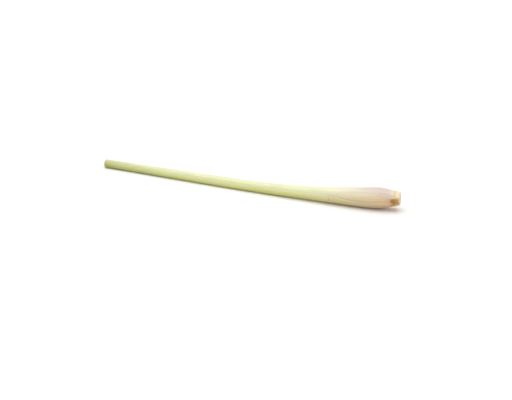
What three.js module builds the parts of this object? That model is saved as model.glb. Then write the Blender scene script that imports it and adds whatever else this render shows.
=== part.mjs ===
// A fresh lemongrass stalk, cut straight at both ends and lying on a flat surface.
// Millimetres, +Z up. +X points along the stalk to its root end and -X to its cut leaves.
// A short solid stem carries three leaf sheaths, each the base of one leaf rolled round the next,
// and a young leaf is rolled up in the middle of them.
// Places along the stalk are distances from the root cut. Angles round it are in degrees, from 0 on
// the -Y side through 90 on top to 180 on the +Y side.

import * as THREE from 'three';

// The stalk's outline: a stem that tapers slowly to the leaf cut, and a bulb near the root cut.
const LENGTH = 328;
const LEAF_CUT_RADIUS = 4.35;
const STEM_TAPER = 0.00625;
const BELLY_AT = 22;
const BELLY_SWELL = 4.45;
const SHOULDER = { length: 51, power: 1.7 };
const NECK = { length: 21.5, power: 1.3 };

// The line through the middle of the stalk: it bows towards -Y, and the bulb lifts it off the floor.
const BOW = 17;
const BOW_REACH = 0.245;
const SETTLE = 0.15;
const BULB_LIFT = 5.65;
const LIFT_FROM = 150;
const LIFT_POWER = 1.3;

// Walls and gaps grow with the stalk's radius.
const WALL = 0.15;
const GAP = 0.03;

// A leaf is thin at its two edges. The edge that ends underneath dips before it meets the other one.
const EDGE_THICKNESS = 0.3;
const EDGE_SPAN = 70;
const DIP_SPAN = 45;
const PART_SPAN = 12;

// How far the outer leaf's two edges reach past its seam. They overlap along the stem, and draw back
// by the same amount towards the bulb, so that the leaf gapes there. Past the bulb, where s is below
// NECK_EDGES.from, the hidden edge comes most of the way back.
const OVER_EDGE = { reach: 27.5, back: 46, from: 105, span: 78, atNeck: -3 };
const UNDER_EDGE = { reach: 12.5, back: 46, from: 88, span: 40, atNeck: 27 };
const NECK_EDGES = { from: 25, span: 20 };

// Angles and stations where the leaves have their corners. Two corners of the ring lie 7.5 degrees
// either side of straight down, so that the side the stalk lies on is a narrow flat strip. A slice
// lies across the line through two points of the middle that are AIM_LENGTH apart.
const TURN = 360;
const CORNER = 15;
const FIRST_FIXED = 60;
const LAST_FIXED = 300;
const EDGE_STEPS = 5;
const AIM_LENGTH = 1;
const STATIONS = [11, 16.5, 22, 29, 37, 46, 56, 67, 79, 92, 108, 130, 160, 200, 245, 290];

// The solid stem: radius at each distance from the root cut. Its collar shows, and the rest steps in
// under each sheath.
const STEM_PROFILE = [
  [0, 6.15], [1, 6.6], [3, 7.1], [4.7, 7.4],
  [4.75, 5.7], [8.7, 5.7],
  [8.75, 4.9], [12.7, 4.9],
  [12.75, 3.6], [22, 3.4], [31, 1.2],
];

const radians = THREE.MathUtils.degToRad;

// 0 below 0, 1 above 1, and a smooth rise between.
function ease(amount) {
  return THREE.MathUtils.smoothstep(amount, 0, 1);
}

function edgeReach(edge, s) {
  const back = edge.back * ease((edge.from - s) / edge.span);
  const atNeck = edge.atNeck * ease((NECK_EDGES.from - s) / NECK_EDGES.span);
  return edge.reach - back + atNeck;
}

// The leaves from the outside in. seam is the angle where the two edges meet, and hand is the way
// the leaf winds. overEdge and underEdge are how far past the seam the outer and the hidden edge
// reach, and below zero they fall short of it and the leaf gapes.
const LEAVES = [
  {
    name: 'outer_sheath',
    start: 5,
    end: LENGTH,
    seam: 7.5,
    hand: -1,
    overEdge: (s) => edgeReach(OVER_EDGE, s),
    underEdge: (s) => edgeReach(UNDER_EDGE, s),
    colour: 0xd8d696,
    roughness: 0.45,
  },
  {
    name: 'second_sheath',
    start: 9,
    end: LENGTH + 0.2,
    seam: 187.5,
    hand: 1,
    overEdge: () => 21,
    underEdge: () => 21,
    colour: 0xdccaa0,
    roughness: 0.5,
  },
  {
    name: 'third_sheath',
    start: 13,
    end: LENGTH - 0.2,
    seam: 7.5,
    hand: -1,
    overEdge: () => 24,
    underEdge: () => 24,
    colour: 0xc3c184,
    roughness: 0.5,
  },
  {
    name: 'heart_leaf',
    start: 33,
    end: LENGTH + 1.1,
    seam: 187.5,
    hand: 1,
    overEdge: () => 50,
    underEdge: () => 50,
    colour: 0xae9c61,
    roughness: 0.55,
  },
];

function stemRadius(s) {
  return LEAF_CUT_RADIUS + STEM_TAPER * (LENGTH - s);
}

function stalkRadius(s) {
  const away = Math.abs(s - BELLY_AT);
  const swell = s > BELLY_AT
    ? Math.exp(-((away / SHOULDER.length) ** SHOULDER.power))
    : 1 - (away / NECK.length) ** NECK.power;
  return stemRadius(s) + BELLY_SWELL * swell;
}

function middleAt(s) {
  const part = s / LENGTH;
  const lift = Math.max(0, 1 - s / LIFT_FROM) ** LIFT_POWER;
  return new THREE.Vector3(
    LENGTH / 2 - s,
    -BOW * (1 - part) * (1 - Math.exp(-part / BOW_REACH)),
    stemRadius(s) - SETTLE + BULB_LIFT * lift,
  );
}

// The slice across the stalk at s: its middle and its directions to the -Y side and upwards.
function sliceAt(s) {
  const before = middleAt(s - AIM_LENGTH / 2);
  const along = before.sub(middleAt(s + AIM_LENGTH / 2)).normalize();
  const front = new THREE.Vector3(along.y, -along.x, 0).normalize();
  const up = new THREE.Vector3().crossVectors(front, along);
  return { s, middle: middleAt(s), front, up };
}

function pointOn(slice, angle, radius) {
  return slice.middle.clone()
    .addScaledVector(slice.front, radius * Math.cos(radians(angle)))
    .addScaledVector(slice.up, radius * Math.sin(radians(angle)));
}

// The outside of the stalk, pressed flat where it would reach below the floor.
function skinRadius(slice, angle) {
  const down = -Math.sin(radians(angle)) * slice.up.z;
  const free = stalkRadius(slice.s);
  return down > 0 ? Math.min(free, slice.middle.z / down) : free;
}

function thickness(s, fromEdge) {
  const full = WALL * stalkRadius(s);
  return full * (EDGE_THICKNESS + (1 - EDGE_THICKNESS) * ease(fromEdge / EDGE_SPAN));
}

// How far the hidden edge has to dip to pass under the other one, which is nothing once the leaf gapes.
function dipDepth(leaf, s, underBy) {
  const overlap = leaf.overEdge(s) + leaf.underEdge(s);
  const held = ease(1 + overlap / PART_SPAN);
  return held * (thickness(s, Math.max(0, underBy)) + GAP * stalkRadius(s));
}

// A leaf's outer and inner face at a turn from its seam, as depths below the room it has.
function leafDepths(leaf, s, turn) {
  const fromOver = turn + leaf.overEdge(s);
  const fromUnder = TURN + leaf.underEdge(s) - turn;
  const underBy = turn - (TURN - leaf.overEdge(s));
  const outer = dipDepth(leaf, s, underBy) * ease(1 + underBy / DIP_SPAN);
  return { outer, inner: outer + thickness(s, Math.min(fromOver, fromUnder)) };
}

// How deep a leaf reaches at an angle, which is where the next leaf's room begins.
function depthBelow(leaf, s, angle) {
  const turn = leaf.hand * (angle - leaf.seam);
  const past = THREE.MathUtils.euclideanModulo(turn - leaf.underEdge(s) + TURN / 2, TURN) - TURN / 2;
  if (past <= 0) {
    return leafDepths(leaf, s, TURN + leaf.underEdge(s) + past).inner;
  }
  const fromOver = Math.max(0, leaf.underEdge(s) + past + leaf.overEdge(s));
  return thickness(s, fromOver) + dipDepth(leaf, s, 0) * (1 - ease(past / DIP_SPAN));
}

function roomFor(leaf, slice, angle) {
  const outside = LEAVES.slice(0, LEAVES.indexOf(leaf));
  const gap = GAP * stalkRadius(slice.s);
  return outside.reduce(
    (radius, other) => radius - depthBelow(other, slice.s, angle) - gap,
    skinRadius(slice, angle),
  );
}

// The turns of a leaf's corners: fixed steps round its back, and a few more out to each edge.
function cornerTurns(leaf, s) {
  const turns = [];
  for (let i = 0; i < EDGE_STEPS; i++) {
    turns.push(THREE.MathUtils.lerp(-leaf.overEdge(s), FIRST_FIXED, i / EDGE_STEPS));
  }
  for (let turn = FIRST_FIXED; turn <= LAST_FIXED; turn += CORNER) {
    turns.push(turn);
  }
  for (let i = 1; i <= EDGE_STEPS; i++) {
    turns.push(THREE.MathUtils.lerp(LAST_FIXED, TURN + leaf.underEdge(s), i / EDGE_STEPS));
  }
  return turns;
}

// A closed solid from rings of points, all with the same count. Each end is closed by joining every
// point to the one across the ring from it.
function solidFromRings(rings) {
  const count = rings[0].length;
  const index = [];
  const quad = (a, b, c, d) => index.push(a, b, c, a, c, d);
  for (let i = 0; i + 1 < rings.length; i++) {
    for (let j = 0; j < count; j++) {
      const next = (j + 1) % count;
      const here = i * count;
      const there = here + count;
      quad(here + j, here + next, there + next, there + j);
    }
  }
  const last = (rings.length - 1) * count;
  for (let j = 0; j + 1 < count / 2; j++) {
    const across = count - 1 - j;
    quad(j, across, across - 1, j + 1);
    quad(last + j, last + j + 1, last + across - 1, last + across);
  }
  const geometry = new THREE.BufferGeometry().setFromPoints(rings.flat());
  geometry.setIndex(index);
  geometry.computeVertexNormals();
  return geometry;
}

function leafRing(leaf, s) {
  const slice = sliceAt(s);
  const outer = [];
  const inner = [];
  for (const turn of cornerTurns(leaf, s)) {
    const angle = leaf.seam + leaf.hand * turn;
    const room = roomFor(leaf, slice, angle);
    const depths = leafDepths(leaf, s, turn);
    outer.push(pointOn(slice, angle, room - depths.outer));
    inner.push(pointOn(slice, angle, room - depths.inner));
  }
  return leaf.hand > 0 ? [...outer, ...inner.reverse()] : [...inner, ...outer.reverse()];
}

function leafGeometry(leaf) {
  const stations = [leaf.start, ...STATIONS.filter((s) => s > leaf.start), leaf.end];
  return solidFromRings(stations.map((s) => leafRing(leaf, s)));
}

function stemGeometry() {
  const rings = STEM_PROFILE.map(([s, radius]) => {
    const slice = sliceAt(s);
    const ring = [];
    for (let angle = CORNER / 2; angle < TURN; angle += CORNER) {
      ring.push(pointOn(slice, angle, radius));
    }
    return ring;
  });
  return solidFromRings(rings);
}

function namedMesh(name, geometry, colour, roughness) {
  const material = new THREE.MeshStandardMaterial({ color: colour, roughness, metalness: 0 });
  const mesh = new THREE.Mesh(geometry, material);
  mesh.name = name;
  return mesh;
}

const stalk = new THREE.Group();
stalk.add(namedMesh('basal_stem', stemGeometry(), 0xe1cbaf, 0.6));
for (const leaf of LEAVES) {
  stalk.add(namedMesh(leaf.name, leafGeometry(leaf), leaf.colour, leaf.roughness));
}

// The origin is under the middle of the stalk, on the floor.
const box = new THREE.Box3().setFromObject(stalk);
const middle = box.getCenter(new THREE.Vector3());
stalk.position.set(-middle.x, -middle.y, -box.min.z);

export default stalk;
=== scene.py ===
"""A fresh lemongrass stalk, trimmed at both ends and lying on a pale floor.

The shape is worked out in millimetres with the design's own sizes, and placed in the middle of the
frame's box. Places along the stalk are distances from its root cut. Angles round it are in degrees,
from 0 on the -Y side through 90 on top to 180 on the +Y side.
"""

import math

import bpy
import numpy as np
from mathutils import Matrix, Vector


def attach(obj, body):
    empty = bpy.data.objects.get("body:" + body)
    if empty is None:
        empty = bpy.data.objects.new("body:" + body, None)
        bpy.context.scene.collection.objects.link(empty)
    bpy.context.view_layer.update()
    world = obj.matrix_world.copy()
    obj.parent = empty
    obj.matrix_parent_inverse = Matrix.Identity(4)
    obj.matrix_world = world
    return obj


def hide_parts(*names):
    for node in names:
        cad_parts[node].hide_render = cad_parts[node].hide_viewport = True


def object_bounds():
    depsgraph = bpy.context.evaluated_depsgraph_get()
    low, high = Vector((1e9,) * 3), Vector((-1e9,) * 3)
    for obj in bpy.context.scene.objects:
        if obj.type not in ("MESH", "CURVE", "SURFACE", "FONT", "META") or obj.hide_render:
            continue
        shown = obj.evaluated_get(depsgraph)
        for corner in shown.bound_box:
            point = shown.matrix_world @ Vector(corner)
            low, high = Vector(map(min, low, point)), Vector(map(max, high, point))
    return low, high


MM = 0.001
TURN = 360.0

# The stalk's outline, as the design has it: a stem that tapers slowly to the leaf cut, and a bulb.
LENGTH = 328.0
LEAF_CUT_RADIUS = 4.35
STEM_TAPER = 0.00625
BELLY_AT = 22.0
BELLY_SWELL = 4.45
SHOULDER_LENGTH, SHOULDER_POWER = 51.0, 1.7
NECK_LENGTH, NECK_POWER = 21.5, 1.3
# The design's sharp crest between shoulder and neck is rounded over this length.
CREST_ROUNDING = 0.9

# The line through the middle of the stalk, as the design has it: it bows towards -Y, and the bulb
# lifts it off the floor.
BOW = 17.0
BOW_REACH = 0.245
SETTLE = 0.15
BULB_LIFT = 5.65
LIFT_FROM = 150.0
LIFT_POWER = 1.3
# A slice lies across the line through two points of the middle that are this far apart.
AIM_LENGTH = 1.0

# How far the outer leaf's two edges reach past its seam, as the design has them. They overlap along
# the stem, draw back towards the bulb so that the leaf gapes, and change once more at the neck.
OVER_EDGE = {"reach": 27.5, "back": 46.0, "start": 105.0, "span": 78.0, "at_neck": -3.0}
UNDER_EDGE = {"reach": 12.5, "back": 46.0, "start": 88.0, "span": 40.0, "at_neck": 27.0}
NECK_EDGES_FROM, NECK_EDGES_SPAN = 25.0, 20.0

# Relief of the outside where the stalk has RELIEF_RADIUS, all of it below the outline.
# Ribs: how many go round, height, phase, and how far, over what length and from where they wander.
RIBS = [
    (37, 0.020, 0.0, 0.9, 47.0, 0.0),
    (53, 0.016, 1.7, 0.0, 1.0, 0.0),
    (19, 0.024, 0.0, 1.3, 61.0, 1.0),
]
# Slow swells: how many go round, height, the length over which they wind, and phase.
SWELLS = [(2, 0.06, 43.0, 0.0), (3, 0.05, -29.0, 2.0)]
# Faint rings round the stalk, which fade in from the root end.
RING_HEIGHT, RING_LENGTH, RING_TILT, RINGS_FROM = 0.04, 9.5, 1.2, 60.0
RELIEF_DROP = 0.18
RELIEF_RADIUS = 8.0
# Only a place that faces down this much can reach the floor.
FACES_DOWN = 0.1

# The leaves fit closer here than in the design, with the same room for each. A leaf's edge has a
# small share of the full thickness, a little more at the bulb than along the stem.
WALL = 0.168
GAP = 0.012
BULB_EDGE = 0.05
STEM_EDGE = 0.04
BULB_EDGE_UP_TO, BULB_EDGE_SPAN = 105.0, 50.0
EDGE_SPAN = 70.0
# The turn over which the hidden edge dips under the other one, and the gape over which the dip goes.
DIP_SPAN = 40.0
PART_SPAN = 12.0

# The middle leaf closes up to this radius, over this much of its turn.
CORE_RADIUS = 0.22
CORE_SPAN = 45.0

# How finely the meshes are made. A leaf's points crowd towards its two edges.
STEM_COLUMNS = 180
STATION_STEP = 1.15
EDGE_CROWDING = 0.9
CUT_ROWS = 4

# Rounding of a leaf's cut end and of its start, and where the rows of points lie on it. No rounding
# takes more than its share of the wall.
CUT_ROUNDING, CUT_SHARE = 0.1, 0.3
BASE_ROUNDING, BASE_SHARE = 0.3, 0.4
EDGE_SHARE = 0.48
ROUNDED_ROWS = (0.0, 0.08, 0.3, 0.6, 1.0)
BEYOND_ROUNDING = 0.3
# The knife went through the leaf end a little off square and left ripples.
SLANT, SLANT_WAVE, SLANT_REACH = 0.35, 0.05, 8.0
CUT_RIPPLE = 0.05
# Each leaf starts a little unevenly from the stem.
RAGGED, RAGGED_WAVE, RAGGED_REACH = 0.05, 0.02, 5.0
# Faces that meet at a larger angle than this, in degrees, have a sharp edge between them.
LEAF_SHARP_ABOVE, STEM_SHARP_ABOVE = 50.0, 60.0


def ease(amount):
    """0 below 0, 1 above 1, and a smooth rise between."""
    amount = np.clip(amount, 0.0, 1.0)
    return amount * amount * (3.0 - 2.0 * amount)


def angle_apart(a, b):
    """The turn from b to a, between -180 and 180 degrees."""
    return (a - b + TURN / 2) % TURN - TURN / 2


# ---------------------------------------------------------------- the stalk's shape


def stem_radius(s):
    return LEAF_CUT_RADIUS + STEM_TAPER * (LENGTH - s)


def stalk_radius(s):
    away = np.hypot(s - BELLY_AT, CREST_ROUNDING) - CREST_ROUNDING
    shoulder = np.exp(-((away / SHOULDER_LENGTH) ** SHOULDER_POWER))
    neck = 1.0 - (away / NECK_LENGTH) ** NECK_POWER
    return stem_radius(s) + BELLY_SWELL * np.where(s > BELLY_AT, shoulder, neck)


def middle_at(s):
    part = s / LENGTH
    lift = np.maximum(0.0, 1.0 - s / LIFT_FROM) ** LIFT_POWER
    side = -BOW * (1.0 - part) * (1.0 - np.exp(-part / BOW_REACH))
    return np.stack([LENGTH / 2 - s, side, stem_radius(s) - SETTLE + BULB_LIFT * lift], axis=-1)


def slice_axes(s):
    """The directions across the stalk at s: towards its -Y side, and upwards."""
    along = middle_at(s - AIM_LENGTH / 2) - middle_at(s + AIM_LENGTH / 2)
    along /= np.linalg.norm(along, axis=-1, keepdims=True)
    front = np.stack([along[..., 1], -along[..., 0], np.zeros_like(along[..., 0])], axis=-1)
    front /= np.linalg.norm(front, axis=-1, keepdims=True)
    return front, np.cross(front, along)


def points_at(s, angle, radius):
    front, up = slice_axes(s)
    turn = np.radians(angle)[..., None]
    return middle_at(s) + radius[..., None] * (np.cos(turn) * front + np.sin(turn) * up)


def skin_relief(s, angle):
    """Low ribs along the stalk and slow unevenness, in millimetres, all of it below the outline."""
    turn = np.radians(angle)
    rings = np.sin(s / RING_LENGTH + RING_TILT * np.sin(turn)) * ease(s / RINGS_FROM)
    relief = RING_HEIGHT * rings - RELIEF_DROP
    for count, height, phase, wander, length, start in RIBS:
        relief = relief + height * np.cos(count * turn + phase + wander * np.sin(s / length + start))
    for count, height, length, phase in SWELLS:
        relief = relief + height * np.sin(count * turn + s / length + phase)
    return relief * stalk_radius(s) / RELIEF_RADIUS


def skin_radius(s, angle):
    """The outside of the stalk, pressed flat where it would reach below the floor."""
    _, up = slice_axes(s)
    down = -np.sin(np.radians(angle)) * up[..., 2]
    free = stalk_radius(s) + skin_relief(s, angle)
    to_floor = middle_at(s)[..., 2] / np.maximum(down, FACES_DOWN)
    return np.where(down > FACES_DOWN, np.minimum(free, to_floor), free)


# ---------------------------------------------------------------- the leaves


class Leaf:
    """A leaf sheath: a strip rolled round what is inside it.

    seam is the angle where its edges meet and hand the way it winds. over and under are how far past
    the seam the outer and the hidden edge reach. Below zero they fall short of it and the leaf gapes.
    """

    def __init__(self, name, start, end, seam, hand, over, under, slot, columns):
        self.name, self.start, self.end = name, start, end
        self.seam, self.hand, self.over, self.under = seam, hand, over, under
        self.slot, self.columns = slot, columns


def changing(edge):
    """The reach of an edge of the outer leaf, as a function of the distance along the stalk."""

    def reach(s):
        back = edge["back"] * ease((edge["start"] - s) / edge["span"])
        at_neck = edge["at_neck"] * ease((NECK_EDGES_FROM - s) / NECK_EDGES_SPAN)
        return edge["reach"] - back + at_neck

    return reach


def constant(angle):
    """The same reach all along a leaf."""
    return lambda s: angle + 0.0 * s


OUTER = Leaf(
    "outer_sheath", start=4.8, end=LENGTH, seam=7.5, hand=-1,
    over=changing(OVER_EDGE), under=changing(UNDER_EDGE), slot="outer_leaf", columns=150,
)
SECOND = Leaf(
    "second_sheath", start=9.0, end=LENGTH + 0.2, seam=187.5, hand=1,
    over=constant(21), under=constant(21), slot="inner_leaf", columns=110,
)
THIRD = Leaf(
    "third_sheath", start=13.0, end=LENGTH - 0.2, seam=7.5, hand=-1,
    over=constant(24), under=constant(24), slot="inner_leaf", columns=80,
)
HEART = Leaf(
    "heart_leaf", start=33.0, end=LENGTH + 1.1, seam=187.5, hand=1,
    over=constant(50), under=constant(50), slot="heart_leaf", columns=80,
)
LEAVES = [OUTER, SECOND, THIRD, HEART]
# The outer leaf gapes at its base. There the second leaf reaches lower, and the stem swells through
# the gap as a scarred root bud.
SCAR_ANGLE = -1.0
SCAR_HALF_WIDTH = 23.0
SCAR_BLEND = 6.0
SCAR_END = 7.55
SCAR_DEPTH = 0.45
TONGUE_LENGTH, TONGUE_BLEND = 1.3, 5.0


def thickness(s, from_edge):
    edge = STEM_EDGE + (BULB_EDGE - STEM_EDGE) * ease((BULB_EDGE_UP_TO - s) / BULB_EDGE_SPAN)
    return WALL * stalk_radius(s) * (edge + (1.0 - edge) * ease(from_edge / EDGE_SPAN))


def dip_depth(leaf, s, under_by):
    """How far the hidden edge dips to pass under the other one: nothing once the leaf gapes."""
    held = ease(1.0 + (leaf.over(s) + leaf.under(s)) / PART_SPAN)
    return held * (thickness(s, np.maximum(0.0, under_by)) + GAP * stalk_radius(s))


def leaf_depths(leaf, s, turn):
    """A leaf's outer and inner face at a turn from its seam, as depths below the room it has."""
    from_over = turn + leaf.over(s)
    from_under = TURN + leaf.under(s) - turn
    under_by = turn - (TURN - leaf.over(s))
    outer = dip_depth(leaf, s, under_by) * ease(1.0 + under_by / DIP_SPAN)
    return outer, outer + thickness(s, np.minimum(from_over, from_under))


def depth_below(leaf, s, angle):
    """How deep a leaf reaches at an angle, which is where the next leaf's room begins."""
    turn = leaf.hand * (angle - leaf.seam)
    past = (turn - leaf.under(s) + TURN / 2) % TURN - TURN / 2
    beneath = leaf_depths(leaf, s, TURN + leaf.under(s) + past)[1]
    from_over = np.maximum(0.0, leaf.under(s) + past + leaf.over(s))
    beyond = thickness(s, from_over) + dip_depth(leaf, s, 0.0) * (1.0 - ease(past / DIP_SPAN))
    return np.where(past <= 0.0, beneath, beyond)


def room_for(leaf, s, angle):
    radius = skin_radius(s, angle)
    for other in LEAVES[: LEAVES.index(leaf)]:
        radius = radius - depth_below(other, s, angle) - GAP * stalk_radius(s)
    return radius


# ---------------------------------------------------------------- meshes


class Builder:
    """Collects points, faces, material numbers and the values that the materials read."""

    def __init__(self):
        self.points, self.faces, self.finishes = [], [], []
        self.lids = []
        self.values = {}
        self.count = 0

    def add(self, points, **values):
        """Adds a grid of points and returns their numbers in the same grid."""
        shape = points.shape[:-1]
        self.points.append(points.reshape(-1, 3))
        for name, value in values.items():
            full = np.broadcast_to(value, shape).reshape(-1)
            self.values.setdefault(name, []).append(full)
        numbers = np.arange(self.count, self.count + full.size).reshape(shape)
        self.count += full.size
        return numbers

    def skin(self, numbers, finish, closed=False):
        """Faces between neighbouring rows of a grid of point numbers."""
        across = np.roll(numbers, -1, axis=1) if closed else numbers[:, 1:]
        here = numbers if closed else numbers[:, :-1]
        quads = np.stack([here[:-1], across[:-1], across[1:], here[1:]], axis=-1).reshape(-1, 4)
        self.faces.append(quads)
        self.finishes.append(np.full(len(quads), finish))

    def lid(self, ring, finish):
        """One face over a small ring of points."""
        self.lids.append((list(ring), finish))

    def build(self, name, materials, flip, sharp_above):
        faces = np.concatenate(self.faces)
        listed = [tuple(f) for f in (faces[:, ::-1] if flip else faces).tolist()]
        finishes = list(np.concatenate(self.finishes))
        for ring, finish in self.lids:
            listed.append(tuple(ring[::-1] if flip else ring))
            finishes.append(finish)
        mesh = bpy.data.meshes.new(name)
        mesh.from_pydata((np.concatenate(self.points) * MM).tolist(), [], listed)
        for material in materials:
            mesh.materials.append(material)
        mesh.polygons.foreach_set("material_index", np.array(finishes, np.int32))
        mesh.polygons.foreach_set("use_smooth", np.ones(len(finishes), bool))
        for value_name, parts in self.values.items():
            attribute = mesh.attributes.new(value_name, "FLOAT", "POINT")
            attribute.data.foreach_set("value", np.concatenate(parts).astype(np.float32))
        mesh.update()
        mesh.set_sharp_from_angle(angle=math.radians(sharp_above))
        piece = bpy.data.objects.new(name, mesh)
        bpy.context.scene.collection.objects.link(piece)
        return piece


def nose(distance, reach):
    """1 at an edge and 0 beyond its reach, falling as a quarter circle does."""
    return 1.0 - np.sqrt(1.0 - (1.0 - np.clip(distance / reach, 0.0, 1.0)) ** 2)


def station_list(start, end):
    """Distances along a piece, close together at its two cut ends."""
    near = np.array(ROUNDED_ROWS)
    first, last = start + BASE_ROUNDING * near, (end - CUT_ROUNDING * near)[::-1]
    count = int((end - start) / STATION_STEP)
    body = np.linspace(first[-1] + BEYOND_ROUNDING, last[0] - BEYOND_ROUNDING, count)
    return np.concatenate([first, body, last])


def crowded(count):
    """Numbers from 0 to 1 that stand closer together near both ends."""
    even = np.linspace(0.0, 1.0, count)
    return even - EDGE_CROWDING * np.sin(2 * math.pi * even) / (2 * math.pi)


def ragged_start(leaf, s, angle):
    """A slightly uneven lower edge, where the leaf grows from the stem."""
    turn = np.radians(angle)
    shift = RAGGED + RAGGED_WAVE * (np.sin(3 * turn + leaf.start) + np.sin(11 * turn + 1.0))
    if leaf is SECOND:
        beside = SCAR_HALF_WIDTH - np.abs(angle_apart(angle, SCAR_ANGLE))
        tip = TONGUE_LENGTH + 0.12 * np.sin(14 * turn) + 0.06 * np.sin(37 * turn)
        shift = shift - tip * ease(beside / TONGUE_BLEND)
    return shift * (1.0 - ease((s - leaf.start) / RAGGED_REACH))


def cut_slant(leaf, s, angle):
    """How far the slanted cut moves a place near the leaf end."""
    turn = np.radians(angle)
    slant = SLANT * (1.0 + np.sin(turn + 0.6)) + SLANT_WAVE * np.sin(9 * turn + leaf.start)
    return -slant * ease((s - (LENGTH - SLANT_REACH)) / SLANT_REACH)


def leaf_mesh(leaf, materials):
    """The rolled strip of a leaf, with thin rounded edges and flat cut ends."""
    builder = Builder()
    skin, lining, cut = range(3)
    rows = station_list(leaf.start, leaf.end)[:, None]
    spread = crowded(leaf.columns)[None, :]
    turn = -leaf.over(rows) + spread * (TURN + leaf.over(rows) + leaf.under(rows))
    angle = leaf.seam + leaf.hand * turn
    s = rows + ragged_start(leaf, rows, angle) + cut_slant(leaf, rows, angle)
    depth_out, depth_in = leaf_depths(leaf, rows, turn)
    room = room_for(leaf, s, angle)
    out_radius, in_radius = room - depth_out, room - depth_in
    if leaf is HEART:
        filled = ease((turn - leaf.under(rows)) / CORE_SPAN)
        in_radius = in_radius + filled * (CORE_RADIUS - in_radius)
    wall = out_radius - in_radius
    to_edge = np.minimum(turn + leaf.over(rows), TURN + leaf.under(rows) - turn)
    from_edge = np.radians(to_edge) * out_radius
    at_edge = EDGE_SHARE * wall * nose(from_edge, wall / 2)
    at_cut = np.minimum(CUT_ROUNDING, CUT_SHARE * wall) * nose(leaf.end - rows, CUT_ROUNDING)
    at_base = np.minimum(BASE_ROUNDING, BASE_SHARE * wall) * nose(rows - leaf.start, BASE_ROUNDING)
    values = {
        "along": s,
        "rise": np.sin(np.radians(angle)),
        "front": np.cos(np.radians(angle)),
        "edge": from_edge,
    }
    outside = points_at(s, angle, out_radius - np.maximum(at_edge, np.maximum(at_cut, at_base)))
    inside = points_at(s, angle, in_radius + np.maximum(at_edge, at_cut))
    front = builder.add(outside, depth=0.0, **values)
    back = builder.add(inside, depth=1.0, **values)
    builder.skin(front, skin)
    builder.skin(back[:, ::-1], lining)
    builder.skin(np.stack([back[:, 0], front[:, 0]], axis=1), skin)
    builder.skin(np.stack([front[:, -1], back[:, -1]], axis=1), skin)
    # Both ends are closed by rows of points across the wall.
    for row, outward in ((0, 1.0), (-1, -1.0)):
        deeper = np.linspace(0.0, 1.0, CUT_ROWS + 1)[1:-1, None]
        between = outside[row] * (1 - deeper)[..., None] + inside[row] * deeper[..., None]
        uneven = 1.0 + 0.6 * np.sin(31 * np.radians(angle[row]))
        ripple = CUT_RIPPLE * np.sin(deeper * math.pi) * uneven
        between[..., 0] += outward * ripple
        ends = {name: value[row][None, :] for name, value in values.items()}
        depth = np.broadcast_to(deeper, between.shape[:-1])
        rows_between = builder.add(between, depth=depth, **ends)
        grid = np.concatenate([front[row][None], rows_between, back[row][None]])
        builder.skin(grid[::-1] if row == 0 else grid, cut)
    return builder.build(leaf.name + "_leaf", materials, leaf.hand > 0, LEAF_SHARP_ABOVE)


# The stem: a cut face, a collar that runs on into the outer leaf, then steps under each sheath and a
# blunt tip. The face is dished, and the knife's ridges stop short of its rim.
ROOT_CUT_RADIUS = 6.1
FACE_FROM, FACE_TO, KNIFE_TO = 0.01, 0.96, 0.94
FACE_DISH, FACE_REACH, FACE_FADE = 0.2, 0.25, 0.2
RIM_ROUNDING, RIM_FROM, RIM_TO = 0.3, 0.15, 1.5
COLLAR_START, COLLAR_END = 0.45, 4.78
COLLAR_FADE_IN, COLLAR_FADE_OUT = 0.6, 0.4
COLLAR_INSET = 0.06
COLLAR_RING_AT, COLLAR_RING_WIDTH, COLLAR_RING_DEPTH = 2.1, 0.25, 0.06
# Each step is the distance from the root cut where it ends, and its radius.
STEPS = [(8.7, 5.7), (12.7, 4.9), (22.0, 3.5), (31.0, 1.2)]
STEP_GAP = 0.05
FACE_RINGS, RIM_RINGS, COLLAR_RINGS, STEP_RINGS = 24, 7, 22, 20
# Root buds: distance along, angle, radius and height.
ROOT_BUDS = [
    (5.7, -8, 0.75, 0.28), (6.3, 6, 0.6, 0.26), (2.9, -1, 0.65, 0.14),
    (3.9, 71, 0.45, 0.08), (2.4, 118, 0.7, 0.16), (4.0, 146, 0.4, 0.10),
    (3.0, 203, 0.8, 0.18), (1.7, 262, 0.5, 0.12), (3.7, 290, 0.7, 0.14),
]


def bud_cover(s, angle):
    """How far a place lies in a root bud: 1 at a bud's middle, 0 outside, and the buds' height."""
    cover, height = np.zeros_like(angle + s), np.zeros_like(angle + s)
    for at, bearing, size, tall in ROOT_BUDS:
        across = np.radians(angle_apart(angle, bearing)) * stalk_radius(s)
        near = np.exp(-((s - at) ** 2 + across**2) / (0.5 * size**2))
        cover = np.maximum(cover, near)
        height = height + tall * near
    return cover, height


def stem_profile():
    """Distances and radii along the stem: over the cut face, round its rim, along the collar and in."""
    face = [(0.0, ROOT_CUT_RADIUS * part) for part in np.linspace(FACE_FROM, FACE_TO, FACE_RINGS)]
    rim = []
    for turn in np.linspace(RIM_FROM, RIM_TO, RIM_RINGS):
        out = RIM_ROUNDING * math.sin(turn)
        rim.append((RIM_ROUNDING * (1 - math.cos(turn)), ROOT_CUT_RADIUS * FACE_TO + out))
    collar = []
    for s in np.linspace(COLLAR_START, COLLAR_END, COLLAR_RINGS):
        collar.append((s, float(stalk_radius(s)) - COLLAR_INSET))
    inside, start = [], COLLAR_END + STEP_GAP
    for end, radius in STEPS:
        inside += [(s, radius) for s in np.linspace(start, end, STEP_RINGS)]
        start = end + STEP_GAP
    return np.array(face + rim + collar + inside)


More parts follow.
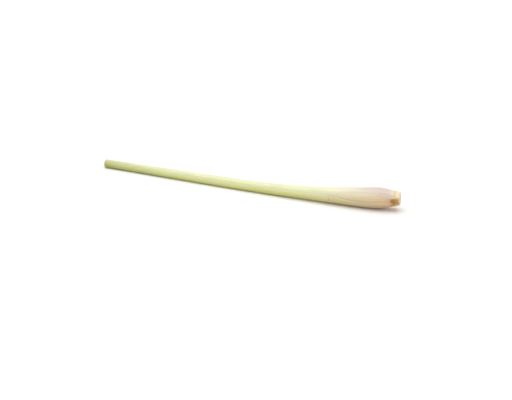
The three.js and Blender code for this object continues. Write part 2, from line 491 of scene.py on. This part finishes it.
def stem_mesh(materials):
    """The stem, turned from its profile and then worked over in places."""
    profile = stem_profile()
    angle = np.linspace(0.0, TURN, STEM_COLUMNS, endpoint=False)[None, :]
    s, radius = profile[:, :1], profile[:, 1:]
    turn = np.radians(angle)
    # The scar fills the gape of the outer leaf, just below its surface.
    width = SCAR_HALF_WIDTH - np.abs(angle_apart(angle, SCAR_ANGLE))
    in_scar = ease(width / SCAR_BLEND) * (s > COLLAR_END) * (s < SCAR_END)
    lumps = 0.10 * np.sin(3.1 * s + 11 * turn) + 0.05 * np.sin(29 * turn)
    radius = radius + in_scar * (stalk_radius(s) - SCAR_DEPTH + lumps - radius)
    # The collar is wrinkled, with a ring round it and root buds.
    cover, height = bud_cover(s, angle)
    on_collar = ease((s - RIM_ROUNDING) / COLLAR_FADE_IN)
    on_collar = on_collar * ease((COLLAR_END - s) / COLLAR_FADE_OUT)
    wrinkle = 0.04 * np.sin(23 * turn + 2 * np.sin(s)) + 0.03 * np.sin(41 * turn)
    ring = COLLAR_RING_DEPTH * np.exp(-(((s - COLLAR_RING_AT) / COLLAR_RING_WIDTH) ** 2))
    radius = radius + on_collar * (wrinkle - ring) + np.maximum(on_collar, in_scar) * height
    # The knife left the cut face slightly dished and ridged.
    on_face = ease((FACE_REACH - s) / FACE_FADE)
    share = radius / ROOT_CUT_RADIUS
    across = share * np.sin(turn + 0.7)
    knife = 0.03 * np.sin(19 * across + 1)
    knife = knife + 0.04 * np.cos(5.2 * math.pi * share + 0.5 * np.sin(3 * turn))
    s = s + on_face * (knife * (share < KNIFE_TO) + FACE_DISH * (1 - share**2))
    values = {
        "along": s,
        "rise": np.sin(turn),
        "front": np.cos(turn),
        "share": share,
        "bud": cover * np.maximum(on_collar, in_scar),
    }
    builder = Builder()
    side, face = range(2)
    s, angle, radius = np.broadcast_arrays(s, angle, radius)
    numbers = builder.add(points_at(s, angle, radius), **values)
    builder.skin(numbers[:FACE_RINGS], face, closed=True)
    builder.skin(numbers[FACE_RINGS - 1 :], side, closed=True)
    builder.lid(numbers[0][::-1], face)
    builder.lid(numbers[-1], side)
    return builder.build("basal_stem_root", materials, True, STEM_SHARP_ABOVE)


# ---------------------------------------------------------------- materials


def colour(red, green, blue):
    """A colour on the screen's 0 to 255 scale as the light values that a shader takes."""
    parts = [c / 255.0 for c in (red, green, blue)]
    light = [p / 12.92 if p <= 0.04045 else ((p + 0.055) / 1.055) ** 2.4 for p in parts]
    return (*light, 1.0)


class Shader:
    """A material's node tree, with a short way to add each kind of node that is used here."""

    def __init__(self, name):
        self.material = bpy.data.materials.new(name)
        self.material.use_nodes = True
        self.tree = self.material.node_tree
        self.surface = self.tree.nodes["Principled BSDF"]

    def set(self, socket, value):
        """Links an output to a socket, or sets the socket to a number or colour."""
        if isinstance(value, bpy.types.NodeSocket):
            self.tree.links.new(value, socket)
        else:
            socket.default_value = value

    def value(self, name):
        """One of the values that the mesh carries at its points."""
        node = self.tree.nodes.new("ShaderNodeAttribute")
        node.attribute_name = name
        return node.outputs["Fac"]

    def math(self, operation, first, second=0.0, third=0.0):
        node = self.tree.nodes.new("ShaderNodeMath")
        node.operation = operation
        for socket, value in zip(node.inputs, (first, second, third)):
            self.set(socket, value)
        return node.outputs[0]

    def rise(self, value, low, high):
        """0 where value is at low, 1 at high, and smooth between. low may be above high."""
        node = self.tree.nodes.new("ShaderNodeMapRange")
        node.interpolation_type = "SMOOTHSTEP"
        up = low < high
        for name, number in (
            ("Value", value), ("From Min", min(low, high)), ("From Max", max(low, high)),
            ("To Min", 0.0 if up else 1.0), ("To Max", 1.0 if up else 0.0),
        ):
            self.set(node.inputs[name], number)
        return node.outputs["Result"]

    def both(self, *masks):
        """Where all the masks hold."""
        found = masks[0]
        for mask in masks[1:]:
            found = self.math("MULTIPLY", found, mask)
        return found

    def vector(self, x, y, z=0.0):
        node = self.tree.nodes.new("ShaderNodeCombineXYZ")
        for socket, value in zip(node.inputs, (x, y, z)):
            self.set(socket, value)
        return node.outputs[0]

    def noise(self, place, scale=1.0, detail=2.0, roughness=0.5):
        node = self.tree.nodes.new("ShaderNodeTexNoise")
        settings = {"Vector": place, "Scale": scale, "Detail": detail, "Roughness": roughness}
        for name, number in settings.items():
            self.set(node.inputs[name], number)
        return node.outputs["Fac"]

    def cells(self, place, scale=1.0):
        """The distance to the middle of the nearest of many scattered cells, and the cell's number."""
        node = self.tree.nodes.new("ShaderNodeTexVoronoi")
        self.set(node.inputs["Vector"], place)
        self.set(node.inputs["Scale"], scale)
        return node.outputs["Distance"], node.outputs["Color"]

    def object_place(self):
        return self.tree.nodes.new("ShaderNodeTexCoord").outputs["Object"]

    def ramp(self, value, low, high, stops):
        """A colour that follows value from low to high through (place, colour) stops."""
        spread = self.tree.nodes.new("ShaderNodeMapRange")
        for name, number in (("Value", value), ("From Min", low), ("From Max", high)):
            self.set(spread.inputs[name], number)
        node = self.tree.nodes.new("ShaderNodeValToRGB")
        points = node.color_ramp.elements
        while len(points) < len(stops):
            points.new(0.5)
        ordered = sorted(stops, key=lambda stop: stop[0])
        for point, (place, tone) in zip(points, ordered):
            point.position = (place - low) / (high - low)
            point.color = tone
        self.set(node.inputs["Fac"], spread.outputs["Result"])
        return node.outputs["Color"]

    def mix(self, amount, first, second):
        """A mix of two colours. The node's colour sockets share their names, so they go by number."""
        node = self.tree.nodes.new("ShaderNodeMix")
        node.data_type = "RGBA"
        self.set(node.inputs[0], amount)
        self.set(node.inputs[6], first)
        self.set(node.inputs[7], second)
        return node.outputs[2]

    def tint(self, tone, mask, strength, colour_there):
        """A tone with another colour laid over it, at most this strongly, where the mask holds."""
        return self.mix(self.math("MULTIPLY", mask, strength), tone, colour_there)

    def bump(self, height, depth_mm):
        node = self.tree.nodes.new("ShaderNodeBump")
        node.inputs["Strength"].default_value = 1.0
        node.inputs["Distance"].default_value = depth_mm * MM
        self.set(node.inputs["Height"], height)
        return node.outputs["Normal"]

    def finish(self, base, roughness, normal=None, **fixed):
        """The finished material. fixed holds its other inputs by name, with _ for a space."""
        self.set(self.surface.inputs["Base Color"], base)
        self.set(self.surface.inputs["Roughness"], roughness)
        if normal is not None:
            self.set(self.surface.inputs["Normal"], normal)
        for name, number in fixed.items():
            self.surface.inputs[name.replace("_", " ")].default_value = number
        return self.material


# Light goes a little way into the flesh.
FLESH = {"Subsurface_Weight": 0.18, "Subsurface_Radius": (2.2, 1.6, 0.7), "Subsurface_Scale": 0.001}

# Colours along the leaves: distance from the root cut, and colour.
OUTER_TONES = [
    (4, colour(238, 212, 172)),
    (8, colour(232, 209, 184)),
    (18, colour(227, 207, 186)),
    (34, colour(236, 219, 194)),
    (52, colour(242, 231, 198)),
    (74, colour(243, 239, 195)),
    (102, colour(239, 240, 179)),
    (150, colour(237, 239, 174)),
    (230, colour(233, 235, 169)),
    (275, colour(223, 226, 152)),
    (305, colour(209, 213, 130)),
    (328, colour(190, 195, 106)),
]
# Painted shade: darker, greener tones along the stalk for the lower side of the leaves.
UNDERSIDE_SHADE_TONES = [
    (8, colour(202, 160, 98)),
    (30, colour(198, 170, 116)),
    (60, colour(198, 178, 106)),
    (110, colour(196, 188, 92)),
    (230, colour(184, 186, 86)),
    (328, colour(148, 154, 70)),
]
DEEP_TONES = [
    (15, colour(194, 158, 140)),
    (60, colour(204, 186, 130)),
    (120, colour(184, 192, 104)),
    (328, colour(128, 140, 62)),
]
INNER_TONES = [
    (7, colour(220, 176, 116)),
    (13, colour(232, 210, 174)),
    (34, colour(238, 222, 192)),
    (52, colour(242, 231, 196)),
    (90, colour(240, 237, 188)),
    (220, colour(220, 220, 156)),
    (328, colour(206, 206, 136)),
]
# A leaf's cut: its outer skin, its flesh and its inner side.
CUT_TONES = {
    "outer_sheath": (colour(150, 156, 78), colour(176, 178, 104), colour(186, 184, 116)),
    "second_sheath": (colour(206, 204, 142), colour(200, 198, 134), colour(170, 160, 96)),
    "third_sheath": (colour(158, 158, 84), colour(186, 178, 112), colour(160, 132, 72)),
    "heart_leaf": (colour(176, 168, 102), colour(166, 150, 90), colour(122, 100, 54)),
}
# The lower border of the mauve flush on the bulb, in radians round it: at a distance, and its slope.
FLUSH_FROM, FLUSH_ANGLE, FLUSH_SLOPE = 10.0, 0.34, 0.026
# One dark speck stands alone above the bulb: distance along, angle in radians and the stalk's radius
# there, and the squares of the distances from its middle where it ends and where it is full.
SPECK_ALONG, SPECK_ANGLE, SPECK_RADIUS = 69.5, -0.22, 6.6
SPECK_ENDS, SPECK_FULL = 0.4, 0.1
SCAR_TONE = colour(178, 122, 22)
# Painted sheen, laid over the top of the leaves.
PAINTED_SHEEN_TONE = colour(230, 229, 202)
PALE_VEIN_TONE = colour(252, 250, 226)
THIN_EDGE_TONE = colour(246, 234, 206)
BROWNED_TONE = colour(178, 148, 124)
MAUVE_TONE = colour(216, 190, 188)
PINK_TONE = colour(240, 206, 186)
SPECK_TONE = colour(104, 86, 48)
DRIED_TONE = colour(150, 146, 84)
LINING_VEIN_TONE = colour(190, 184, 116)
FIBRE_TONE = colour(118, 96, 44)
# Painted shade for the lower side of the collar.
COLLAR_SHADE_TONE = colour(208, 174, 126)
COLLAR_CLOUD_TONE = colour(224, 190, 142)
BUD_TONE = colour(136, 78, 38)
STEM_FIBRE_TONE = colour(170, 132, 86)
CUT_STAIN_TONE = colour(196, 158, 108)


class Place:
    """Where a point of the surface is: distance along, angle, and its place on a unit circle."""

    def __init__(self, shader):
        self.shader = shader
        self.along, self.rise, self.front = (shader.value(name) for name in ("along", "rise", "front"))
        self.angle = shader.math("ARCTAN2", self.rise, self.front)

    def wrapped(self, per_turn, length):
        """Coordinates for a texture with about per_turn features round, each length mm long."""
        radius = per_turn / (2 * math.pi)
        return self.shader.vector(
            self.shader.math("MULTIPLY", self.front, radius),
            self.shader.math("MULTIPLY", self.rise, radius),
            self.shader.math("DIVIDE", self.along, length),
        )

    def streaks(self, per_turn, length):
        """Fine noise that is drawn out along the stalk."""
        return self.shader.noise(self.wrapped(per_turn, length), detail=3.0, roughness=0.6)


def leaf_skin(name, tones, is_outer):
    """The waxy outside of a leaf sheath."""
    shader = Shader(name)
    place = Place(shader)
    along, angle, rise = place.along, place.angle, place.rise
    edge = shader.value("edge")
    clouds = shader.noise(place.wrapped(7.5, 26.0))
    tone = shader.ramp(along, 0.0, LENGTH, tones)
    deep_tone = shader.ramp(along, 0.0, LENGTH, DEEP_TONES)
    # Painted sheen: a paler tone on top, where the light falls. Painted shade: darker, greener colour
    # underneath.
    sheen_patches = shader.math("MULTIPLY_ADD", clouds, 0.6, 0.15)
    tone = shader.mix(shader.both(shader.rise(rise, 0.55, 0.9), sheen_patches), tone, PAINTED_SHEEN_TONE)
    # Painted shade: how far a place faces down, and so how much of the darker tones it takes.
    low = shader.rise(rise, 0.55, -0.60) if is_outer else shader.rise(rise, 0.78, -0.38)
    tone = shader.tint(tone, low, 0.8, shader.ramp(along, 0.0, LENGTH, UNDERSIDE_SHADE_TONES))
    if is_outer:
        tone = mauve_flush(place, tone, clouds)
    # Veins.
    veins, fine = place.streaks(110, 70), place.streaks(260, 30)
    tone = shader.tint(tone, shader.rise(veins, 0.50, 0.72), 0.30, PALE_VEIN_TONE)
    tone = shader.tint(tone, shader.rise(veins, 0.48, 0.28), 0.24, deep_tone)
    tone = shader.tint(tone, shader.rise(clouds, 0.45, 0.75), 0.18, deep_tone)
    # The thin edge of the leaf lets more light through, and its lower margin is a little brown.
    tone = shader.tint(tone, shader.rise(edge, 3.0, 0.4), 0.25, THIN_EDGE_TONE)
    browned = shader.both(
        shader.rise(edge, 0.9, 0.15), shader.rise(angle, 0.2, 0.0),
        shader.rise(along, 64.0, 50.0), shader.rise(along, 22.0, 30.0),
    )
    tone = shader.tint(tone, browned, 0.55, BROWNED_TONE)
    tone = shader.mix(scar_stain(place), tone, SCAR_TONE)
    if is_outer:
        tone = dark_marks(place, tone)
    height = shader.math("MULTIPLY_ADD", veins, 0.7, shader.math("MULTIPLY", fine, 0.3))
    gloss = shader.math("MULTIPLY_ADD", clouds, 0.16, 0.34)
    normal = shader.bump(height, 0.10)
    return shader.finish(tone, gloss, normal, Coat_Weight=0.1, Coat_Roughness=0.3, **FLESH)


def mauve_flush(place, tone, clouds):
    """The mauve flush over the top of the bulb, with a faint pink line along its lower border."""
    shader, along, angle = place.shader, place.along, place.angle
    border = shader.math("MULTIPLY_ADD", along, FLUSH_SLOPE, FLUSH_ANGLE - FLUSH_FROM * FLUSH_SLOPE)
    above = shader.math("SUBTRACT", angle, border)
    near_root = shader.both(shader.rise(along, 6.5, 13.0), shader.rise(along, 58.0, 22.0))
    spread = shader.both(near_root, shader.rise(above, -0.25, 0.35), shader.rise(angle, 3.0, 2.2))
    flush = shader.both(spread, shader.rise(clouds, 0.15, 0.55))
    tone = shader.tint(tone, flush, 0.6, MAUVE_TONE)
    on_line = shader.both(shader.rise(above, -0.09, -0.02), shader.rise(above, 0.06, 0.0))
    line = shader.both(on_line, shader.rise(along, 7.0, 11.0), shader.rise(along, 27.0, 19.0))
    return shader.tint(tone, line, 0.45, PINK_TONE)


def scar_stain(place):
    """How amber a place is: bruised round the scar at the root end, and weaker below it."""
    shader = place.shader
    patchy = shader.rise(place.streaks(30, 4), 0.30, 0.62)
    wander = shader.math("SUBTRACT", shader.noise(shader.object_place(), scale=380.0), 0.5)
    bearing = shader.math("ADD", place.angle, wander)
    distance = shader.math("MULTIPLY_ADD", wander, -5.0, place.along)
    heart = shader.both(
        shader.rise(bearing, -0.90, -0.50), shader.rise(bearing, 0.36, 0.10),
        shader.rise(distance, 0.2, 2.0), shader.rise(distance, 10.0, 6.2),
    )
    below = shader.both(
        shader.rise(bearing, -1.5, -0.6), shader.rise(bearing, 0.1, -0.4),
        shader.rise(distance, 0.0, 1.6), shader.rise(distance, 12.0, 5.0),
    )
    stain = shader.math("MAXIMUM", heart, shader.math("MULTIPLY", below, 0.6))
    return shader.math("MULTIPLY", stain, shader.math("MULTIPLY_ADD", patchy, 0.3, 0.7))


def dark_marks(place, tone):
    """Small dark specks, and leaf tissue that has begun to dry at the leaf cut."""
    shader, along = place.shader, place.along
    distance, cell = shader.cells(place.wrapped(9.0, 10.0))
    spots = shader.both(shader.rise(distance, 0.075, 0.03), shader.rise(cell, 0.74, 0.80))
    across = shader.math("MULTIPLY", shader.math("SUBTRACT", place.angle, SPECK_ANGLE), SPECK_RADIUS)
    away = shader.math("SUBTRACT", along, SPECK_ALONG)
    squares = [shader.math("MULTIPLY", part, part) for part in (across, away)]
    speck = shader.rise(shader.math("ADD", *squares), SPECK_ENDS, SPECK_FULL)
    tone = shader.tint(tone, shader.math("MAXIMUM", spots, speck), 0.7, SPECK_TONE)
    return shader.tint(tone, shader.rise(along, LENGTH - 3.5, LENGTH - 0.3), 0.4, DRIED_TONE)


def leaf_lining(name):
    """The inner face of a leaf: paler and smoother."""
    shader = Shader(name)
    place = Place(shader)
    tone = shader.ramp(
        place.along, 0.0, LENGTH,
        [(5, colour(232, 208, 172)), (60, colour(234, 224, 182)), (328, colour(206, 208, 144))],
    )
    veins = place.streaks(120, 60)
    tone = shader.tint(tone, shader.rise(veins, 0.45, 0.7), 0.2, LINING_VEIN_TONE)
    return shader.finish(tone, 0.42, shader.bump(veins, 0.06), **FLESH)


def leaf_cut(name, rim, flesh, core):
    """A cut through a leaf: a green outer skin, pale flesh and the dark ends of its fibres."""
    shader = Shader(name)
    place = Place(shader)
    depth = shader.value("depth")
    tone = shader.ramp(depth, 0.0, 1.0, [(0.0, rim), (0.3, flesh), (0.75, flesh), (1.0, core)])
    grain = shader.noise(shader.object_place(), scale=2600.0, detail=3.0)
    tone = shader.tint(tone, shader.rise(grain, 0.4, 0.75), 0.4, core)
    distance, _ = shader.cells(place.wrapped(46.0, 3.0))
    inside = shader.both(shader.rise(depth, 0.15, 0.35), shader.rise(depth, 0.85, 0.6))
    fibres = shader.both(shader.rise(distance, 0.42, 0.2), inside)
    tone = shader.tint(tone, fibres, 0.5, FIBRE_TONE)
    return shader.finish(tone, 0.62, shader.bump(grain, 0.12), **FLESH)


def stem_side(name):
    """The collar at the root end: cream, ringed, with an amber scar and brown root buds."""
    shader = Shader(name)
    place = Place(shader)
    bud = shader.value("bud")
    tone = shader.ramp(
        place.along, 0.0, 5.0,
        [
            (0.0, colour(214, 188, 150)), (0.5, colour(244, 228, 196)),
            (3.0, colour(244, 226, 192)), (5.0, colour(232, 204, 162)),
        ],
    )
    # Painted shade: the collar is darker on its lower side.
    tone = shader.tint(tone, shader.rise(place.rise, 0.2, -0.9), 0.4, COLLAR_SHADE_TONE)
    clouds = shader.noise(place.wrapped(12.0, 2.5))
    tone = shader.tint(tone, shader.rise(clouds, 0.45, 0.7), 0.3, COLLAR_CLOUD_TONE)
    tone = shader.mix(scar_stain(place), tone, SCAR_TONE)
    ragged = shader.noise(shader.object_place(), scale=1500.0)
    spot = shader.rise(shader.math("MULTIPLY_ADD", ragged, 0.9, bud), 0.75, 1.25)
    tone = shader.tint(tone, spot, 0.85, BUD_TONE)
    return shader.finish(tone, 0.5, shader.bump(place.streaks(90, 3), 0.12), **FLESH)


def stem_cut(name):
    """The root cut: cream flesh with a browned rim, a faint ring and the dots of its fibres."""
    shader = Shader(name)
    place = shader.object_place()
    waver = shader.noise(place, scale=420.0)
    # How far out a place lies on the cut, which wavers a little.
    share = shader.math("SUBTRACT", shader.value("share"), 0.08)
    share = shader.math("MULTIPLY_ADD", waver, 0.16, share)
    tone = shader.ramp(
        share, 0.0, 1.0,
        [
            (0.0, colour(214, 186, 138)), (0.45, colour(232, 212, 176)),
            (0.62, colour(210, 184, 144)), (0.70, colour(234, 216, 184)),
            (0.93, colour(228, 206, 172)), (1.0, colour(178, 136, 88)),
        ],
    )
    distance, _ = shader.cells(place, scale=1150.0)
    dots = shader.both(shader.rise(distance, 0.30, 0.12), shader.rise(share, 0.72, 0.6))
    tone = shader.tint(tone, dots, 0.55, STEM_FIBRE_TONE)
    stain = shader.noise(place, scale=260.0, detail=4.0)
    tone = shader.tint(tone, shader.rise(stain, 0.5, 0.75), 0.4, CUT_STAIN_TONE)
    grain = shader.noise(place, scale=1700.0, detail=3.0)
    return shader.finish(tone, 0.6, shader.bump(grain, 0.12), **FLESH)


# ---------------------------------------------------------------- the pieces


def place_pieces(pieces, low, high):
    """Moves all the meshes by one step, so that they stand in the middle of the frame's box."""
    points = []
    for piece in pieces:
        numbers = np.empty(3 * len(piece.data.vertices), np.float32)
        piece.data.vertices.foreach_get("co", numbers)
        points.append(numbers.reshape(-1, 3))
    together = np.concatenate(points)
    lowest, highest = together.min(axis=0), together.max(axis=0)
    step = (np.array(low) + np.array(high) - lowest - highest) / 2
    step[2] = low[2] - lowest[2]
    for piece, corners in zip(pieces, points):
        moved = (corners + step).astype(np.float32)
        piece.data.vertices.foreach_set("co", moved.ravel())
        piece.data.update()


def build_stalk(low, high):
    """Makes the five pieces and puts each in place of its CAD node."""
    lining = leaf_lining("leaf_lining")
    skins = {
        "outer_sheath": leaf_skin("outer_leaf_skin", OUTER_TONES, True),
        "second_sheath": leaf_skin("second_leaf_skin", INNER_TONES, False),
        "third_sheath": leaf_skin("third_leaf_skin", INNER_TONES, False),
        "heart_leaf": leaf_skin("heart_leaf_skin", INNER_TONES, False),
    }
    cuts = {
        leaf: leaf_cut(f"{leaf.split('_')[0]}_leaf_cut", *CUT_TONES[leaf])
        for leaf in skins
    }
    stem = stem_mesh([stem_side("stem_collar"), stem_cut("stem_cut")])
    made = [(stem, "basal_stem", "stem_flesh")]
    for leaf in LEAVES:
        piece = leaf_mesh(leaf, [skins[leaf.name], lining, cuts[leaf.name]])
        made.append((piece, leaf.name, leaf.slot))
    place_pieces([piece for piece, _, _ in made], low, high)
    for piece, node, slot in made:
        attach(piece, "root")
        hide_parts(node)


# ---------------------------------------------------------------- floor, light and camera

FLOOR_HALF = 40.0
FLOOR_GREYS = (0.93, 0.90)
FLOOR_CLOUDS = 0.04
# The room's light at the horizon and overhead, and the heights between which it changes, as sines.
HORIZON_LIGHT = 1.02
SKY_LIGHT = 0.50
HORIZON_UP_TO, SKY_FROM = 0.22, 0.55
OVERHEAD_LIGHT = 1.8
OVERHEAD_SPREAD = 70.0
OVERHEAD_FROM = (-0.15, 0.1, 1.0)
# Angles in degrees, distance and place in metres, and the lens in millimetres.
CAMERA_TURN = 23.7
CAMERA_RISE = 20.0
CAMERA_DISTANCE = 1.4
CAMERA_LENS = 98.84
CAMERA_SEES_TO = 50.0
LOOK_AT = (0.0236, -0.0257, 0.0)


def build_floor():
    """A pale floor with faint clouds in it, large enough to reach the horizon in any view."""
    signs = ((-1, -1), (1, -1), (1, 1), (-1, 1))
    corners = [(x * FLOOR_HALF, y * FLOOR_HALF, 0.0) for x, y in signs]
    mesh = bpy.data.meshes.new("floor")
    mesh.from_pydata(corners, [], [(0, 1, 2, 3)])
    shader = Shader("floor")
    grain = shader.noise(shader.object_place(), scale=3.0)
    light, dark = ((grey, grey, grey, 1.0) for grey in FLOOR_GREYS)
    tone = shader.tint(light, grain, FLOOR_CLOUDS, dark)
    mesh.materials.append(shader.finish(tone, 0.9))
    floor = bpy.data.objects.new("floor", mesh)
    bpy.context.scene.collection.objects.link(floor)


def aim(thing, place, target):
    """Puts a camera or light in place, looking at the target."""
    back = np.array(place) - np.array(target)
    back = back / np.linalg.norm(back)
    turn = math.atan2(back[0], -back[1])
    rise = math.asin(back[2])
    thing.location = place
    thing.rotation_euler = (math.pi / 2 - rise, 0.0, turn)


def build_light():
    """A white room that is brightest near the horizon, and a very soft light from overhead."""
    world = bpy.data.worlds.new("studio")
    bpy.context.scene.world = world
    world.use_nodes = True
    tree = world.node_tree
    place = tree.nodes.new("ShaderNodeTexCoord").outputs["Generated"]
    split = tree.nodes.new("ShaderNodeSeparateXYZ")
    height = tree.nodes.new("ShaderNodeMapRange")
    tree.links.new(place, split.inputs[0])
    tree.links.new(split.outputs["Z"], height.inputs["Value"])
    for name, number in (
        ("From Min", HORIZON_UP_TO), ("From Max", SKY_FROM),
        ("To Min", HORIZON_LIGHT), ("To Max", SKY_LIGHT),
    ):
        height.inputs[name].default_value = number
    background = tree.nodes["Background"]
    background.inputs["Color"].default_value = (1.0, 1.0, 1.0, 1.0)
    tree.links.new(height.outputs["Result"], background.inputs["Strength"])
    light = bpy.data.lights.new("overhead", "SUN")
    light.angle = math.radians(OVERHEAD_SPREAD)
    light.energy = OVERHEAD_LIGHT
    thing = bpy.data.objects.new("overhead", light)
    bpy.context.scene.collection.objects.link(thing)
    aim(thing, OVERHEAD_FROM, (0.0, 0.0, 0.0))


def build_camera():
    turn, rise = math.radians(CAMERA_TURN), math.radians(CAMERA_RISE)
    back = (math.sin(turn) * math.cos(rise), -math.cos(turn) * math.cos(rise), math.sin(rise))
    camera = bpy.data.cameras.new("camera")
    camera.lens = CAMERA_LENS
    camera.clip_end = CAMERA_SEES_TO
    thing = bpy.data.objects.new("camera", camera)
    bpy.context.scene.collection.objects.link(thing)
    place = [look + CAMERA_DISTANCE * part for look, part in zip(LOOK_AT, back)]
    aim(thing, place, LOOK_AT)
    bpy.context.scene.camera = thing
    bpy.context.scene.view_settings.view_transform = "Standard"


def as_lists(bounds):
    return [[float(number) for number in corner] for corner in bounds]


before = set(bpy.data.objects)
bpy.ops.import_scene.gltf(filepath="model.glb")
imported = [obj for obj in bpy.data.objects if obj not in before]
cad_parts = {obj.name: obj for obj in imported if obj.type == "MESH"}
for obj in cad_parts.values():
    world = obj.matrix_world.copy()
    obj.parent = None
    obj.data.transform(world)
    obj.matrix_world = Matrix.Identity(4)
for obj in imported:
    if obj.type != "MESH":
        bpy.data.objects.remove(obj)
cad_bounds = as_lists(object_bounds())
build_stalk(*cad_bounds)
build_floor()
build_light()
build_camera()
